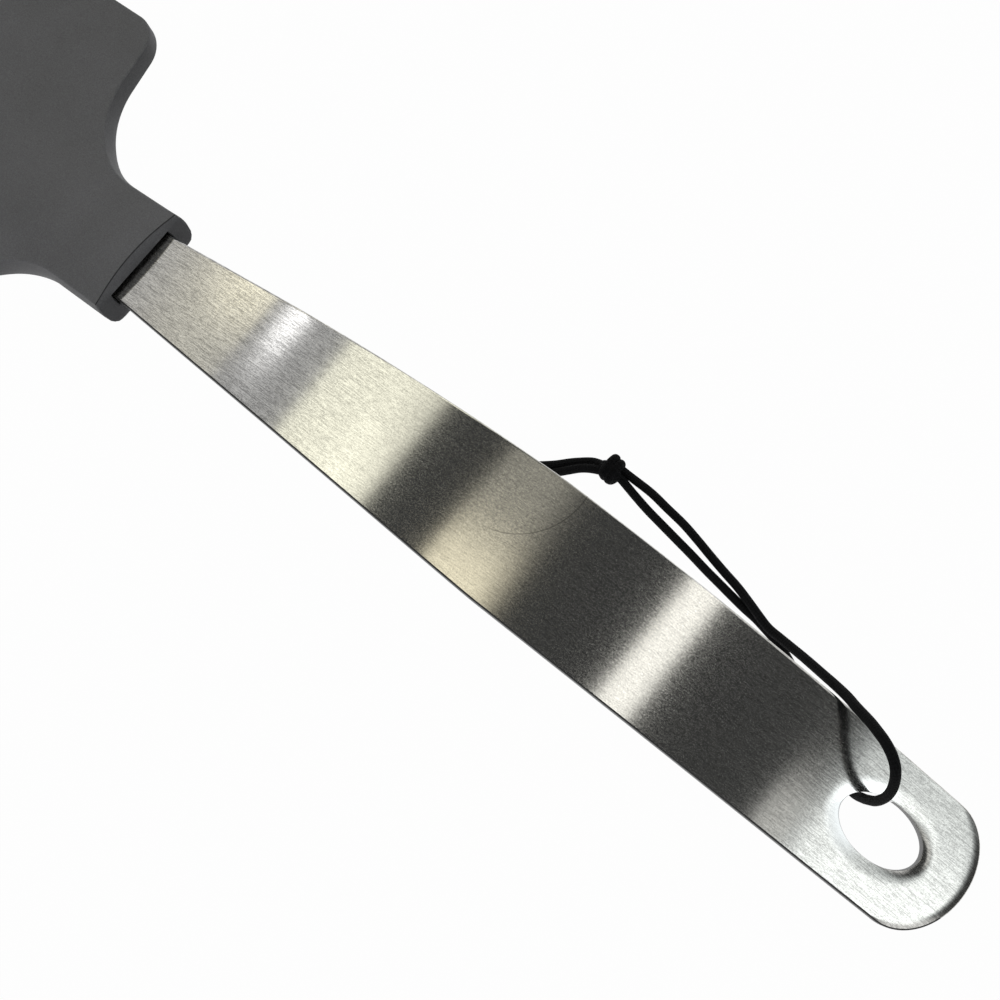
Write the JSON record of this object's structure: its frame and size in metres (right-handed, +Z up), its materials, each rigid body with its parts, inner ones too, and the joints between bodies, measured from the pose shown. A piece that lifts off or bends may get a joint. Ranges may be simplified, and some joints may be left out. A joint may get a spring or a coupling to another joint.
{
  "type": "cookie spatula",
  "caption": "Spatula with a flat nylon blade, a socketed neck, an arched brushed steel strap handle and a hang cord through its end.",
  "frame": {"origin": "on the table, under the middle of the tool's length and width, without its cord", "axes": "+X along the tool towards the handle's end, +Y to the side on which the cord lies, +Z up"},
  "size_m": [0.3184, 0.088, 0.0281],
  "materials": {
    "nylon": "matte, fine moulded grain",
    "steel": "brushed along its length",
    "cord": "fine black braid"
  },
  "bodies": {
    "root": {"head": "nylon", "handle": "steel", "cord_over": "cord", "cord_under": "cord", "cord_knot": "cord", "cord_tail_long": "cord", "cord_tail_short": "cord"}
  },
  "joints": []
}
